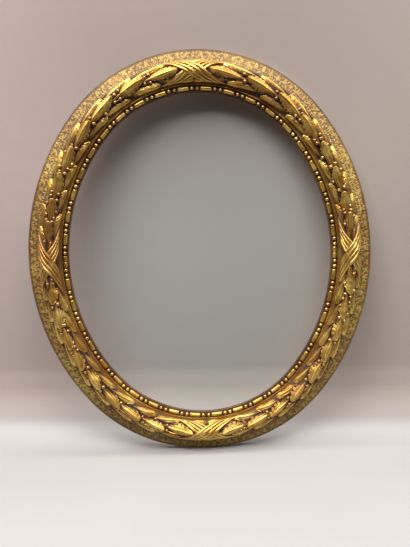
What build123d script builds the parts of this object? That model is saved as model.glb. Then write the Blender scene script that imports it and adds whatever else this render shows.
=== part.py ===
"""Oval giltwood picture frame with a laurel garland, crossed ribbons and a bead-and-bar sight edge.

Millimetres. The frame stands upright: +Z is up, the front faces -Y and the back faces +Y.
The origin is the middle of the whole frame. Sections are drawn with two measures: the offset
outwards from the sight edge, and the height above the back face towards the front.
"""

import os
from math import atan2, cos, degrees, hypot, pi, radians, sin, tan

from build123d import *

# Oval and moulding
SIGHT_HALF_WIDTH = 245.0
SIGHT_HALF_HEIGHT = 299.0
MOULDING_WIDTH = 75.0
RAIL_THICKNESS = 14.0
RAIL_INSET = 1.0
REBATE_WIDTH = 6.5
REBATE_DEPTH = 12.0
GLUE_LINE = 0.2
CUT_OVERRUN = 1.0

# Front section, from the sight edge outwards
LIP_THICKNESS = 5.0
BEAD_MARGIN = 2.5
BEAD_WIDTH = 8.0
BEAD_HEIGHT = 6.5
BEAD_CROWN_WIDTH = 4.4
FILLET_GAP = 1.0
FILLET_RISE = 7.0
TORUS_OFFSET = 38.0
TORUS_HEIGHT = 23.0
TORUS_RADIUS = 19.5
TORUS_SIDES = 6
BAND_GAP = 2.5
BAND_RISE = 12.5
BAND_EDGE_THICKNESS = 1.5

# Bead-and-bar strip: each repeat is a long bar and two beads, parted by notches
BEAD_REPEATS = 11
BEAD_BAR_SHARE = 0.53
NOTCH_WIDTH = 3.6
NOTCH_DEPTH = 3.4

# Laurel garland: three columns of overlapping leaves, the crest column half a leaf ahead
FLANK_LEAVES = 9
GARLAND_END_GAP = 44.0
LEAF_LAP = 9.0
LEAF_COLUMN_ANGLE = 50.0
LEAF_SINK = 1.5
LEAF_EDGE_RISE = 2.2
LEAF_RIB_RISE = 4.6
LEAF_HALF_ANGLE = 31.0
# At the leaf's foot, its widest place and its tip
LEAF_PLACE_SHARES = (0.0, 0.45, 1.0)
LEAF_WIDTH_SHARES = (0.5, 1.0, 0.08)
LEAF_EDGE_SHARES = (0.1, 0.75, 1.1)
LEAF_RIB_SHARES = (0.2, 1.0, 0.9)

# Crossed ribbons: two reeded bands that wind over the half-round, one over the other
RIBBON_WIDTH = 16.0
RIBBON_ANGLE = 38.0
RIBBON_REEDS = 4
RIBBON_SINK = 1.0
UNDER_BAND_RISE = 1.2
OVER_BAND_RISE = 3.2
REED_RISE = 1.8

# Butterfly keys across the back joints
KEY_LENGTH = 44.0
KEY_WIDTH = 24.0
KEY_WAIST = 12.0
KEY_DEPTH = 5.0

# Turn buttons and screws
BUTTON_LENGTH = 20.0
BUTTON_WIDTH = 8.0
BUTTON_BEVEL = 2.3
BUTTON_THICKNESS = 1.5
BUTTON_GAP = 0.2
BUTTON_PIVOT_INSET = 9.0
BUTTON_ANGLE = 26.0
PIVOT_CLEARANCE = 0.08
SCREW_RADIUS = 1.7
SCREW_LENGTH = 11.0
SCREW_HEAD_RADIUS = 3.2
SCREW_HEAD_HEIGHT = 1.8
SCREW_HEAD_TOP_RADIUS = 2.0
SCREW_FIT = 0.02
SCREW_SIDES = 12

# Strap hanger with a D-ring
HANGER_OFFSET = 60.0
STRAP_WIDTH = 12.0
STRAP_LENGTH = 42.0
STRAP_THICKNESS = 1.2
STRAP_SCREW_PITCH = 10.0
RING_WIRE_RADIUS = 1.25
RING_HALF_WIDTH = 10.0
RING_CORNER_RADIUS = 3.0
RING_LEG = 5.0
RING_SIDES = 6
RING_CLEARANCE = 0.1
RING_STANDOFF = 0.35

# The oval is the draughtsman's four-centre one: two end arcs and two side arcs, all tangent
diagonal = hypot(SIGHT_HALF_WIDTH, SIGHT_HALF_HEIGHT)
stretch = SIGHT_HALF_HEIGHT - SIGHT_HALF_WIDTH
end_radius = diagonal * (diagonal - stretch) / (2 * SIGHT_HALF_HEIGHT)
side_radius = diagonal * (diagonal + stretch) / (2 * SIGHT_HALF_WIDTH)
end_centre_z = SIGHT_HALF_HEIGHT - end_radius
side_centre_x = side_radius - SIGHT_HALF_WIDTH
end_angle = degrees(atan2(side_centre_x, end_centre_z))
side_angle = 90 - end_angle

# Depth: the ribbon crossings stand furthest forward and the hanger's eye furthest back
eye_bore = RING_WIRE_RADIUS + RING_CLEARANCE
eye_radius = eye_bore + STRAP_THICKNESS
eye_standoff = STRAP_THICKNESS + RING_STANDOFF + RING_WIRE_RADIUS
front_reach = TORUS_HEIGHT + TORUS_RADIUS + OVER_BAND_RISE + REED_RISE
back_reach = eye_standoff + eye_radius
back_y = (front_reach - back_reach) / 2

END_CENTRE = Vector(0, back_y, end_centre_z)
SIDE_CENTRE = Vector(-side_centre_x, back_y, 0)
FRONT = Vector(0, -1, 0)
BACK = Vector(0, 1, 0)


def outward(angle):
    """Direction away from an arc's centre, at a clockwise angle from the top as seen from the front."""
    return Vector(sin(radians(angle)), 0, cos(radians(angle)))


def along(angle):
    """Clockwise direction along an arc."""
    return Vector(cos(radians(angle)), 0, -sin(radians(angle)))


def section_plane(centre, angle):
    """Plane across the moulding: local X runs outwards and local Y towards the front."""
    return Plane(origin=centre, x_dir=outward(angle), z_dir=along(angle))


def front_plane(centre, radius, angle):
    """Plane of the back face at a point of an arc, looking to the front: X along, Y outwards."""
    return Plane(origin=centre + outward(angle) * radius, x_dir=along(angle), z_dir=FRONT)


def rear_plane(centre, radius, angle):
    """The same place seen from behind: X along and Y inwards."""
    return Plane(origin=centre + outward(angle) * radius, x_dir=along(angle), z_dir=BACK)


def outline_sketch(plane, points):
    """Closed straight-sided outline on a plane."""
    with BuildSketch(plane) as outline:
        with BuildLine():
            Polyline(*points, close=True)
        make_face()
    return outline.sketch


def turn_section(points, centre, radius, start, arc, mode=Mode.ADD):
    """Turn a section about an arc's centre into a curved length of moulding."""
    plane = section_plane(centre, start)
    outline = outline_sketch(plane, [(radius + offset, height) for offset, height in points])
    revolve(outline, axis=Axis(centre, (0, 1, 0)), revolution_arc=arc, mode=mode)


def place_on_quadrant(distance, offset):
    """Arc centre, its sight radius and the angle, at a distance clockwise from the top."""
    end_length = (end_radius + offset) * radians(end_angle)
    if distance <= end_length:
        return END_CENTRE, end_radius, degrees(distance / (end_radius + offset))
    beyond = (distance - end_length) / (side_radius + offset)
    return SIDE_CENTRE, side_radius, end_angle + degrees(beyond)


def quadrant_length(offset):
    """Length of a quarter of the oval at an offset from the sight edge."""
    return (end_radius + offset) * radians(end_angle) + (side_radius + offset) * radians(side_angle)


def torus_point(rise, angle):
    """Point of the section at a rise above the half-round, at an angle from its crest."""
    reach = TORUS_RADIUS + rise
    return (TORUS_OFFSET + reach * sin(radians(angle)), TORUS_HEIGHT + reach * cos(radians(angle)))


def torus_angles():
    """Angles of the half-round's corners from its crest, from the inner side to the outer side."""
    return [180 * index / TORUS_SIDES - 90 for index in range(TORUS_SIDES + 1)]


def half_round():
    """Points of the many-sided half-round under the garland."""
    return [torus_point(0, angle) for angle in torus_angles()]


def moulding_section():
    """Section of the carved front: lip, bead seat, fillet, half-round and sloping outer band."""
    seat = REBATE_DEPTH + LIP_THICKNESS
    fillet_start = BEAD_MARGIN + BEAD_WIDTH + FILLET_GAP
    band_start = TORUS_OFFSET + TORUS_RADIUS + BAND_GAP
    band_foot = RAIL_THICKNESS + BAND_EDGE_THICKNESS
    return [
        (0, REBATE_DEPTH),
        (0, seat),
        (fillet_start, seat),
        (fillet_start, seat + FILLET_RISE),
        *half_round(),
        (band_start, RAIL_THICKNESS + BAND_RISE),
        (MOULDING_WIDTH, band_foot),
        (MOULDING_WIDTH, RAIL_THICKNESS),
        (REBATE_WIDTH, RAIL_THICKNESS),
        (REBATE_WIDTH, REBATE_DEPTH),
    ]


def leaf_section(distance, column_angle, half_angle, edge_rise, rib_rise):
    """Five-sided slice of a leaf: sunk foot, two edges and the midrib between them."""
    centre, radius, angle = place_on_quadrant(distance, TORUS_OFFSET)
    corners = [
        torus_point(-LEAF_SINK, column_angle - half_angle),
        torus_point(-LEAF_SINK, column_angle + half_angle),
        torus_point(edge_rise, column_angle + half_angle),
        torus_point(rib_rise, column_angle),
        torus_point(edge_rise, column_angle - half_angle),
    ]
    outline = [(radius + offset, height) for offset, height in corners]
    return outline_sketch(section_plane(centre, angle), outline)


def add_leaf(start, length, column_angle):
    """Leaf that springs low, swells and lifts its pointed tip over the next leaf."""
    shares = zip(LEAF_PLACE_SHARES, LEAF_WIDTH_SHARES, LEAF_EDGE_SHARES, LEAF_RIB_SHARES)
    slices = [
        leaf_section(
            start + length * place,
            column_angle,
            LEAF_HALF_ANGLE * width,
            LEAF_EDGE_RISE * edge,
            LEAF_RIB_RISE * rib,
        )
        for place, width, edge, rib in shares
    ]
    loft(slices, ruled=True)


def build_garland():
    """Front moulding from the top to the right, with its leaves running away from the top."""
    pitch = (quadrant_length(TORUS_OFFSET) - 2 * GARLAND_END_GAP) / FLANK_LEAVES
    crest_start = GARLAND_END_GAP - pitch / 2
    with BuildPart() as garland:
        for row in range(FLANK_LEAVES):
            for column_angle in (-LEAF_COLUMN_ANGLE, LEAF_COLUMN_ANGLE):
                add_leaf(GARLAND_END_GAP + pitch * row - LEAF_LAP / 2, pitch + LEAF_LAP, column_angle)
        for row in range(FLANK_LEAVES + 1):
            add_leaf(crest_start + pitch * row - LEAF_LAP / 2, pitch + LEAF_LAP, 0)
        for centre, radius, middle in ((END_CENTRE, end_radius, 0), (SIDE_CENTRE, side_radius, 90)):
            for hand in (1, -1):
                bed = band_slices(centre, radius, middle, hand, bed_profile())
                loft(bed, ruled=True, mode=Mode.SUBTRACT)
        turn_section(moulding_section(), END_CENTRE, end_radius, 0, end_angle)
        turn_section(moulding_section(), SIDE_CENTRE, side_radius, end_angle, side_angle)
    return garland.part


def bead_slice(distance, height):
    """Slice of the sight strip: flat foot on its seat, sloping sides and a flattened crown."""
    foot = REBATE_DEPTH + LIP_THICKNESS
    middle = BEAD_MARGIN + BEAD_WIDTH / 2
    centre, radius, angle = place_on_quadrant(distance, middle)
    corners = [
        (radius + middle - BEAD_WIDTH / 2, foot),
        (radius + middle - BEAD_CROWN_WIDTH / 2, foot + height),
        (radius + middle + BEAD_CROWN_WIDTH / 2, foot + height),
        (radius + middle + BEAD_WIDTH / 2, foot),
    ]
    return outline_sketch(section_plane(centre, angle), corners)


def build_bead_strip():
    """Sight strip from the top to the right: a half bar, pairs of beads between bars, a half bar."""
    length = quadrant_length(BEAD_MARGIN + BEAD_WIDTH / 2)
    pitch = length / BEAD_REPEATS
    bar_end = pitch * BEAD_BAR_SHARE / 2
    bead = pitch / 2 - bar_end
    low = BEAD_HEIGHT - NOTCH_DEPTH
    slices = [bead_slice(0, BEAD_HEIGHT)]
    for repeat in range(BEAD_REPEATS):
        first_notch = pitch * repeat + bar_end
        steps = [
            (-NOTCH_WIDTH / 2, BEAD_HEIGHT),
            (0, low),
            (bead / 2, BEAD_HEIGHT),
            (bead, low),
            (bead * 3 / 2, BEAD_HEIGHT),
            (bead * 2, low),
            (bead * 2 + NOTCH_WIDTH / 2, BEAD_HEIGHT),
        ]
        slices += [bead_slice(first_notch + step, height) for step, height in steps]
    slices.append(bead_slice(length, BEAD_HEIGHT))
    with BuildPart() as strip:
        loft(slices, ruled=True)
    return strip.part


def band_slices(centre, radius, middle, hand, profile):
    """Slices of a band that winds over the half-round, one at each of its corners.

    hand is 1 for a band that runs outwards as it goes clockwise and -1 for one that runs inwards.
    """
    slices = []
    for torus_angle in torus_angles():
        advance = hand * TORUS_RADIUS * radians(torus_angle) / tan(radians(RIBBON_ANGLE))
        angle = middle + degrees(advance / (radius + TORUS_OFFSET))
        rise = FRONT * cos(radians(torus_angle)) + outward(angle) * sin(radians(torus_angle))
        origin = centre + outward(angle) * (radius + TORUS_OFFSET) + FRONT * TORUS_HEIGHT
        plane = Plane(origin=origin, x_dir=along(angle), z_dir=along(angle).cross(rise))
        slices.append(outline_sketch(plane, profile))
    return slices


def reeded_profile(rise):
    """Profile of a band, measured along the moulding and from the half-round's middle."""
    half = RIBBON_WIDTH / sin(radians(RIBBON_ANGLE)) / 2
    reed = 2 * half / RIBBON_REEDS
    valley = TORUS_RADIUS + rise
    top = [(-half, valley)]
    for index in range(RIBBON_REEDS):
        top.append((-half + reed * (index + 0.5), valley + REED_RISE))
        top.append((-half + reed * (index + 1), valley))
    foot = TORUS_RADIUS - RIBBON_SINK
    return [(-half, foot), *top, (half, foot)]


def bed_profile():
    """Room that the leaves leave for a band, a glue line wider than the band on each side."""
    half = RIBBON_WIDTH / sin(radians(RIBBON_ANGLE)) / 2 + GLUE_LINE
    foot = TORUS_RADIUS - LEAF_SINK - CUT_OVERRUN
    top = TORUS_RADIUS + OVER_BAND_RISE + REED_RISE + CUT_OVERRUN
    return [(-half, foot), (-half, top), (half, top), (half, foot)]


def build_ribbon(centre, radius, middle):
    """Two reeded bands that cross over the half-round and cover a joint of the moulding."""
    half_arc = degrees((TORUS_RADIUS * pi / 2 / tan(radians(RIBBON_ANGLE)) + 2 * RIBBON_WIDTH) / radius)
    with BuildPart() as ribbon:
        loft(band_slices(centre, radius, middle, 1, reeded_profile(UNDER_BAND_RISE)), ruled=True)
        loft(band_slices(centre, radius, middle, -1, reeded_profile(OVER_BAND_RISE)), ruled=True)
        turn_section(moulding_section(), centre, radius, middle - half_arc, 2 * half_arc, Mode.SUBTRACT)
    return ribbon.part


def rail_section():
    """Plain rectangular section of a back rail, a glue line clear of the lip."""
    inner = REBATE_WIDTH + GLUE_LINE
    outer = MOULDING_WIDTH - RAIL_INSET
    return [(inner, 0), (outer, 0), (outer, RAIL_THICKNESS), (inner, RAIL_THICKNESS)]


def key_sketch(plane):
    """Butterfly outline, waisted at the joint that it crosses."""
    end = KEY_LENGTH / 2
    wide = KEY_WIDTH / 2
    waist = KEY_WAIST / 2
    points = [(-end, -wide), (0, -waist), (end, -wide), (end, wide), (0, waist), (-end, wide)]
    return outline_sketch(plane, points)


def key_planes():
    """Back-face planes of the four joints between rails, clockwise from the top right."""
    middle = side_radius + (REBATE_WIDTH + MOULDING_WIDTH) / 2
    right = SIDE_CENTRE
    left = Vector(side_centre_x, back_y, 0)
    return [
        front_plane(right, middle, end_angle),
        front_plane(right, middle, 180 - end_angle),
        front_plane(left, middle, 180 + end_angle),
        front_plane(left, middle, 360 - end_angle),
    ]


def button_planes():
    """Back-face planes of the four pivot screws, clockwise from the top right."""
    pivot_radius = end_radius + REBATE_WIDTH + BUTTON_PIVOT_INSET
    top = END_CENTRE
    bottom = Vector(0, back_y, -end_centre_z)
    return [
        rear_plane(top, pivot_radius, BUTTON_ANGLE),
        rear_plane(bottom, pivot_radius, 180 - BUTTON_ANGLE),
        rear_plane(bottom, pivot_radius, 180 + BUTTON_ANGLE),
        rear_plane(top, pivot_radius, 360 - BUTTON_ANGLE),
    ]


def hanger_plane(standoff=0):
    """Plane at the hanger's eye, a standoff behind the back face: X runs down the strap."""
    origin = Vector(0, back_y + standoff, SIGHT_HALF_HEIGHT + HANGER_OFFSET)
    return Plane(origin=origin, x_dir=(0, 0, -1), z_dir=BACK)


def strap_screw_places():
    """Distances of the strap's two screws below its eye."""
    lower = STRAP_LENGTH - STRAP_WIDTH / 2
    return (lower - STRAP_SCREW_PITCH, lower)


def screw_planes():
    """Back-face planes of the hanger's two screws."""
    top = hanger_plane()
    return [Plane(top.origin + top.x_dir * place, top.x_dir, top.z_dir) for place in strap_screw_places()]


def screw_outline(plane, radius):
    """Many-sided outline of a screw's shank, head or pilot hole."""
    with BuildSketch(plane) as outline:
        RegularPolygon(radius, SCREW_SIDES)
    return outline.sketch


def cut_screw_holes(planes):
    """Pilot holes in the rails for the screws."""
    for plane in planes:
        extrude(screw_outline(plane, SCREW_RADIUS + SCREW_FIT), amount=-(SCREW_LENGTH + CUT_OVERRUN),
                mode=Mode.SUBTRACT)


def build_rail(centre, radius, start, arc, keys, screws):
    """Back rail with its half pockets for the butterfly keys and its pilot holes."""
    with BuildPart() as rail:
        turn_section(rail_section(), centre, radius, start, arc)
        for plane in keys:
            extrude(key_sketch(plane), amount=KEY_DEPTH, mode=Mode.SUBTRACT)
        cut_screw_holes(screws)
    return rail.part


def build_key(plane):
    """Butterfly key let into the back, flush with it."""
    with BuildPart() as key:
        extrude(key_sketch(plane), amount=KEY_DEPTH)
    return key.part


def add_screw(plane, seat):
    """Round-headed screw whose head bears at a height above the back face."""
    extrude(screw_outline(plane.offset(seat), SCREW_RADIUS), amount=-(SCREW_LENGTH + seat))
    head_foot = screw_outline(plane.offset(seat), SCREW_HEAD_RADIUS)
    head_top = screw_outline(plane.offset(seat + SCREW_HEAD_HEIGHT), SCREW_HEAD_TOP_RADIUS)
    loft([head_foot, head_top], ruled=True)


def build_screws(planes, seat):
    """Screws of one kind, as separate solids."""
    with BuildPart() as screws:
        for plane in planes:
            add_screw(plane, seat)
    return screws.part


def button_outline():
    """Bevelled plate outline, measured from the pivot along the rim and across it."""
    head = -BUTTON_WIDTH / 2
    tail = BUTTON_LENGTH - BUTTON_WIDTH / 2
    half = BUTTON_WIDTH / 2
    flat = half - BUTTON_BEVEL
    return [
        (head, -flat),
        (head + BUTTON_BEVEL, -half),
        (tail - BUTTON_BEVEL, -half),
        (tail, -flat),
        (tail, flat),
        (tail - BUTTON_BEVEL, half),
        (head + BUTTON_BEVEL, half),
        (head, flat),
    ]


def build_button(plane):
    """Turn button parked along the rim, with its pivot hole near one end."""
    face = plane.offset(BUTTON_GAP)
    with BuildPart() as button:
        extrude(outline_sketch(face, button_outline()), amount=BUTTON_THICKNESS)
        with BuildSketch(face) as hole:
            Circle(SCREW_RADIUS + PIVOT_CLEARANCE)
        extrude(hole.sketch, amount=BUTTON_THICKNESS, mode=Mode.SUBTRACT)
    return button.part


def build_hanger():
    """Strap with two screw holes, rolled at its upper end into an eye for the ring's bar."""
    straight = STRAP_LENGTH - STRAP_WIDTH / 2
    eye_plane = Plane(hanger_plane(eye_standoff).origin, x_dir=(0, 1, 0), z_dir=(1, 0, 0))
    with BuildPart() as hanger:
        with BuildSketch(hanger_plane()) as outline:
            with Locations((straight / 2, 0)):
                Rectangle(straight, STRAP_WIDTH)
            with Locations((straight, 0)):
                Circle(STRAP_WIDTH / 2)
            for place in strap_screw_places():
                with Locations((place, 0)):
                    RegularPolygon(SCREW_RADIUS + SCREW_FIT, SCREW_SIDES, mode=Mode.SUBTRACT)
        extrude(outline.sketch, amount=STRAP_THICKNESS)
        with BuildSketch(eye_plane) as eye:
            Circle(eye_radius)
        extrude(eye.sketch, amount=STRAP_WIDTH / 2, both=True)
        with BuildSketch(eye_plane) as bore:
            Circle(eye_bore)
        extrude(bore.sketch, amount=STRAP_WIDTH / 2, both=True, mode=Mode.SUBTRACT)
    return hanger.part


def wire_end(origin, direction):
    """Many-sided section of the ring's wire, square to a direction."""
    with BuildSketch(Plane(origin=origin, x_dir=(0, 1, 0), z_dir=direction)) as section:
        RegularPolygon(RING_WIRE_RADIUS, RING_SIDES)
    return section.sketch


def build_ring():
    """D-ring hanging from its eye: round bar, two corners, two legs and a half circle."""
    centre = hanger_plane(eye_standoff).origin
    bar_half = RING_HALF_WIDTH - RING_CORNER_RADIUS
    bow_centre = centre - Vector(0, 0, RING_CORNER_RADIUS + RING_LEG)
    with BuildPart() as ring:
        with BuildSketch(Plane(origin=centre, x_dir=(0, 1, 0), z_dir=(1, 0, 0))) as bar:
            Circle(RING_WIRE_RADIUS)
        extrude(bar.sketch, amount=bar_half, both=True)
        for hand in (1, -1):
            turn_centre = centre + Vector(hand * bar_half, 0, -RING_CORNER_RADIUS)
            corner = wire_end(centre + Vector(hand * bar_half, 0, 0), (1, 0, 0))
            revolve(corner, axis=Axis(turn_centre, (0, hand, 0)), revolution_arc=90)
            leg_top = centre + Vector(hand * RING_HALF_WIDTH, 0, -RING_CORNER_RADIUS)
            extrude(wire_end(leg_top, (0, 0, -1)), amount=RING_LEG)
        bow = wire_end(bow_centre + Vector(RING_HALF_WIDTH, 0, 0), (0, 0, -1))
        revolve(bow, axis=Axis(bow_centre, (0, 1, 0)), revolution_arc=180)
    return ring.part


def write(part, name):
    """Write one finished piece under its own name."""
    part.label = name
    export_step(part, f"parts/{name}.step")


def write_quadrants(part, name):
    """Write a top right piece and its mirror images in the other three quarters."""
    left = mirror(part, about=Plane.YZ)
    write(part, f"{name}_top_right")
    write(left, f"{name}_top_left")
    write(mirror(part, about=Plane.XY), f"{name}_bottom_right")
    write(mirror(left, about=Plane.XY), f"{name}_bottom_left")


def write_ribbons():
    """Write the four crossings; the lower and the left one mirror the upper and the right one."""
    top = build_ribbon(END_CENTRE, end_radius, 0)
    right = build_ribbon(SIDE_CENTRE, side_radius, 90)
    write(top, "ribbon_top")
    write(right, "ribbon_right")
    write(mirror(top, about=Plane.XY), "ribbon_bottom")
    write(mirror(right, about=Plane.YZ), "ribbon_left")


def write_rails():
    """Write the four back rails, each with the keys and screws that it holds."""
    keys = key_planes()
    buttons = button_planes()
    bottom_centre = Vector(0, back_y, -end_centre_z)
    left_centre = Vector(side_centre_x, back_y, 0)
    top_screws = (buttons[0], buttons[3], *screw_planes())
    end_arc = 2 * end_angle
    side_arc = 2 * side_angle
    top = build_rail(END_CENTRE, end_radius, -end_angle, end_arc, (keys[0], keys[3]), top_screws)
    right = build_rail(SIDE_CENTRE, side_radius, end_angle, side_arc, keys[:2], ())
    bottom = build_rail(bottom_centre, end_radius, 180 - end_angle, end_arc, keys[1:3], buttons[1:3])
    left = build_rail(left_centre, side_radius, 180 + end_angle, side_arc, keys[2:], ())
    write(top, "back_rail_top")
    write(right, "back_rail_right")
    write(bottom, "back_rail_bottom")
    write(left, "back_rail_left")


def write_hardware():
    """Write the keys, turn buttons, hanger, ring and screws."""
    corners = ("top_right", "bottom_right", "bottom_left", "top_left")
    for corner, key_plane, button_plane in zip(corners, key_planes(), button_planes()):
        write(build_key(key_plane), f"joint_key_{corner}")
        write(build_button(button_plane), f"turn_button_{corner}")
    write(build_hanger(), "strap_hanger")
    write(build_ring(), "hanging_ring")
    write(build_screws(button_planes(), 2 * BUTTON_GAP + BUTTON_THICKNESS), "pivot_screws")
    write(build_screws(screw_planes(), STRAP_THICKNESS), "hanger_screws")


os.makedirs("parts", exist_ok=True)
write_quadrants(build_garland(), "garland")
write_quadrants(build_bead_strip(), "bead_strip")
write_ribbons()
write_rails()
write_hardware()
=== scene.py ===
"""Oval giltwood picture frame: the carved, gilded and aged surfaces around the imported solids.

Shapes are worked out in millimetres and turned into metres when a mesh is made. A place on the
moulding is a distance s clockwise from the top, an offset u outwards from the sight edge and a
height d above the back face. Three quarters of the oval mirror the top right one.
"""

import math

import bpy
import numpy as np
from mathutils import Matrix, Vector


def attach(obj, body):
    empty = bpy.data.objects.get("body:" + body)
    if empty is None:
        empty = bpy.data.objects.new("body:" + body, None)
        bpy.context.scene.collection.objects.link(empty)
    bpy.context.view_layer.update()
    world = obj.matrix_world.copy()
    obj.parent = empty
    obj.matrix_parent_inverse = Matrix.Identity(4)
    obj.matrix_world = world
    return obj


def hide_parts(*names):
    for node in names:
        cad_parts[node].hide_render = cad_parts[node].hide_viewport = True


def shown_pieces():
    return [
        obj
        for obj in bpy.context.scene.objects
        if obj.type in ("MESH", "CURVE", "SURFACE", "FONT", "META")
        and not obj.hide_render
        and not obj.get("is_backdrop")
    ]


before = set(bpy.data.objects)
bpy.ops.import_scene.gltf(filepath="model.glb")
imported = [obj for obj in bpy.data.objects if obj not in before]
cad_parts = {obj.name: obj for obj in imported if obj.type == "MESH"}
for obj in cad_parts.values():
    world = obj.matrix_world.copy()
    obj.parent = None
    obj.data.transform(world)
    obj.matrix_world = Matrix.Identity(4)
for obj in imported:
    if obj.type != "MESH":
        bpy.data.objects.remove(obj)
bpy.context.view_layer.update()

# ---- The oval and its section in millimetres, as the solids have them but for a slimmer half-round
SIGHT_X, SIGHT_Z = 245.0, 299.0
MOULDING = 75.0
BACK_Y = 21.075
SEAT = 17.0
LIP_BACK = 12.0
RAIL_TOP = 14.0
TORUS_U, TORUS_D, TORUS_R = 34.0, 26.0, 16.5
BEAD_U = 6.5
BEAD_REPEATS = 10.5
DIAGONAL = math.hypot(SIGHT_X, SIGHT_Z)
END_RADIUS = DIAGONAL * (DIAGONAL - (SIGHT_Z - SIGHT_X)) / (2 * SIGHT_Z)
SIDE_RADIUS = DIAGONAL * (DIAGONAL + (SIGHT_Z - SIGHT_X)) / (2 * SIGHT_X)
END_Z = SIGHT_Z - END_RADIUS
SIDE_X = SIDE_RADIUS - SIGHT_X
END_ANGLE = math.atan2(SIDE_X, END_Z)
SIDE_ANGLE = math.pi / 2 - END_ANGLE

# ---- Garland, ribbons and the rest of the carving, in millimetres and degrees
CORE_SINK = 5.5
END_GAP, LEAF_LAP = 37.0, 11.0
LEAF_HALF, LEAF_TOP, LEAF_FOOT, LEAF_LIMIT, LEAF_TURN = 55.0, 4.4, -4.5, 4.85, -20
FLANK_ANGLE, FLANK_HALF, FLANK_TOP, FLANK_TURN = 59.0, 43.0, 2.8, 24
LOW_ANGLE, LOW_HALF, LOW_FOOT, LOW_TOP, LOW_TURN = 27, 17, -4.6, -0.6, 14
FILL_HALF, FILL_TOP, FILL_TURN = 21, 2.4, 10
LEAF_GRID, FILL_GRID, LOW_GRID = (56, 41), (30, 25), (24, 17)
TOOTH_LENGTH, LOBE_REACH = (6.5, 8.5), 0.26
SIDE_SLOPES, FLAT_SHARE, RIM_DROP, RIM_BEAD = (5.4, 7.6), 0.3, 2.6, 0.5
VEIN_PLACES, VEIN_HALF, VEIN_DEPTH, GROOVE_DEPTH = (0.3, 0.52, 0.72), 0.06, 0.95, 1.4
LEAF_TWIST, LEAF_SWELL = 1.6, 0.5
UNDER_RIBBON = 0.4
BERRY_RADIUS, BERRY_LIFT = (2.9, 3.7), (-2.2, 0.2)
RIBBON_WIDTH, RIBBON_ANGLE, RIBBON_CURL = 24.0, math.radians(35), 0.12
RIBBON_REACH, RIBBON_ROWS, RIBBON_COLUMNS = 97, 80, 49
REED_PLACES, REED_HALF, REED_RISE = (-0.77, -0.3, 0.26, 0.76), 0.235, 2.2
UNDER_RISE, OVER_RISE, OVER_SPREAD, RIBBON_TUCK = 0.7, 2.5, 34, 3.0
SHARP_ANGLE = math.radians(50)
# Each quarter's mirroring, its seed, and its rows of leaves with how much longer the first row is
QUARTERS = {"top_right": (1, 1), "top_left": (-1, 1), "bottom_right": (1, -1), "bottom_left": (-1, -1)}
SEEDS = {"top_right": 11, "top_left": 23, "bottom_right": 37, "bottom_left": 51}
ROWS = {
    "top_right": (8, 0.28),
    "top_left": (8, 0.24),
    "bottom_right": (9, 0.06),
    "bottom_left": (9, 0.1),
}


def quarter_length(u):
    """Length of a quarter of the oval at an offset from the sight edge."""
    return (END_RADIUS + u) * END_ANGLE + (SIDE_RADIUS + u) * SIDE_ANGLE


def oval(s, u, d, measured_at):
    """Points at distances s, measured along the line at one offset, for the top right quarter."""
    s, u, d = np.broadcast_arrays(s, u, d)
    end_length = (END_RADIUS + measured_at) * END_ANGLE
    on_end = s <= end_length
    angle = np.where(
        on_end,
        s / (END_RADIUS + measured_at),
        END_ANGLE + (s - end_length) / (SIDE_RADIUS + measured_at),
    )
    radius = np.where(on_end, END_RADIUS, SIDE_RADIUS) + u
    x = np.where(on_end, 0.0, -SIDE_X) + radius * np.sin(angle)
    z = np.where(on_end, END_Z, 0.0) + radius * np.cos(angle)
    return np.stack([x, BACK_Y - d, z], -1)


def on_torus(s, theta, rise):
    """Points over the half-round, at an angle in degrees from its crest and a rise above it."""
    reach = TORUS_R + rise
    angle = np.radians(theta)
    return oval(s, TORUS_U + reach * np.sin(angle), TORUS_D + reach * np.cos(angle), TORUS_U)


def smooth(low, high, x):
    """Smooth step from 0 at low to 1 at high."""
    t = np.clip((x - low) / (high - low), 0, 1)
    return t * t * (3 - 2 * t)


# ---- Meshes


class Shell:
    """Lofted closed forms of one piece: points in millimetres, faces and a value per point of painted shade
    and grime.
    """

    def __init__(self):
        self.points, self.faces, self.hollow, self.count = [], [], [], 0

    def loft(self, rings, hollow, joined=False):
        """Closed rings, one behind the other, capped at both ends or joined end to end."""
        rows, size = rings.shape[:2]
        index = np.arange(rows * size).reshape(rows, size) + self.count
        if joined:
            index = np.concatenate([index, index[:1]])
        ahead = np.roll(index, -1, axis=1)
        quads = np.stack([index[:-1], index[1:], ahead[1:], ahead[:-1]], -1).reshape(-1, 4)
        self.faces += quads.tolist()
        if not joined:
            self.faces += [index[0].tolist(), index[-1][::-1].tolist()]
        self.points.append(rings.reshape(-1, 3))
        self.hollow.append(np.broadcast_to(hollow, (rows, size)).reshape(-1))
        self.count += rows * size

    def slab(self, top, foot, hollow, turned=False):
        """Open surface, row by row, closed underneath along its foot, which is all in painted shade."""
        rings = np.concatenate([top, foot], axis=1)
        values = np.concatenate([np.broadcast_to(hollow, top.shape[:2]), np.ones(foot.shape[:2])], axis=1)
        order = -1 if turned else 1
        self.loft(rings[:, ::order], values[:, ::order])

    def piece(self, name, material, flips):
        """Mesh object of the whole shell, mirrored left to right or top to bottom by flips."""
        points = np.concatenate(self.points) * (flips[0], 1, flips[1]) / 1000
        faces = self.faces if flips[0] * flips[1] > 0 else [face[::-1] for face in self.faces]
        mesh = bpy.data.meshes.new(name)
        mesh.from_pydata(points.tolist(), [], faces)
        # Per point: painted shade in hollows, under and between parts, mixed with grime; the gilding
        # darkens by it
        value = mesh.attributes.new("hollow", "FLOAT", "POINT")
        value.data.foreach_set("value", np.concatenate(self.hollow).astype(np.float32))
        mesh.polygons.foreach_set("use_smooth", [True] * len(mesh.polygons))
        mesh.set_sharp_from_angle(angle=SHARP_ANGLE)
        mesh.materials.append(material)
        mesh.update()
        obj = bpy.data.objects.new(name, mesh)
        bpy.context.scene.collection.objects.link(obj)
        return obj


# ---- Materials


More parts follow.
